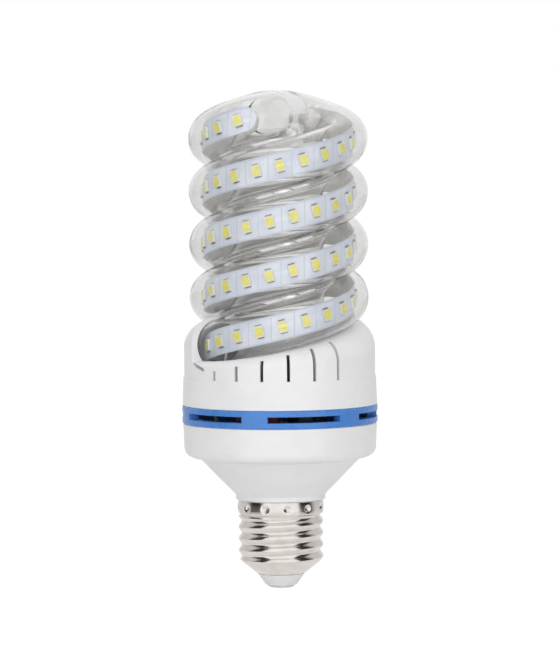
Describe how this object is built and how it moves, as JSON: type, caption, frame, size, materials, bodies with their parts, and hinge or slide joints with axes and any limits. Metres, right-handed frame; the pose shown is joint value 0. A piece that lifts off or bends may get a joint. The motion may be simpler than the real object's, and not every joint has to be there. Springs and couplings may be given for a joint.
{
  "type": "spiral led bulb",
  "caption": "Spiral LED bulb with a clear double-helix tube, lit strips inside it, a vented white housing and a medium screw cap.",
  "frame": {"origin": "middle of the centre contact's outer face, on the bulb's axis", "axes": "+Z along the bulb's axis from the cap to the tube's top, -Y towards the front"},
  "size_m": [0.0604, 0.0604, 0.1539],
  "materials": {
    "clear_tube": "clear, smooth",
    "strip": "white resist on aluminium",
    "led_body": "moulded, satin",
    "phosphor": "cast resin",
    "glue": "translucent silicone",
    "housing": "moulded, satin",
    "blue_ring": "moulded, glossy",
    "cap_shell": "nickel plate, rolled",
    "insulator": "moulded",
    "contact": "tinned",
    "board": "paper laminate",
    "can": "shrink sleeve",
    "film": "dipped resin",
    "ferrite": "sintered",
    "winding": "enamelled wire",
    "resin": "moulded",
    "resistor": "coated",
    "wire": "sleeved wire"
  },
  "bodies": {
    "root": {"glass_spiral": "clear_tube", "led_strip_a": "strip", "led_strip_b": "strip", "led_packages_a": "led_body", "led_packages_b": "led_body", "led_windows_a": "phosphor", "led_windows_b": "phosphor", "strip_dab_a": "glue", "strip_dab_b": "glue", "upper_housing": "housing", "vent_ring": "blue_ring", "lower_housing": "housing", "screw_shell": "cap_shell", "cap_insulator": "insulator", "centre_contact": "contact", "driver_board": "board", "input_capacitor": "can", "output_capacitor": "can", "film_capacitor": "film", "inductor_core": "ferrite", "inductor_winding": "winding", "bridge_rectifier": "resin", "driver_chip": "resin", "fusible_resistor": "resistor", "contact_lead": "wire", "shell_lead": "wire", "strip_leads_a": "wire", "strip_leads_b": "wire"}
  },
  "joints": []
}
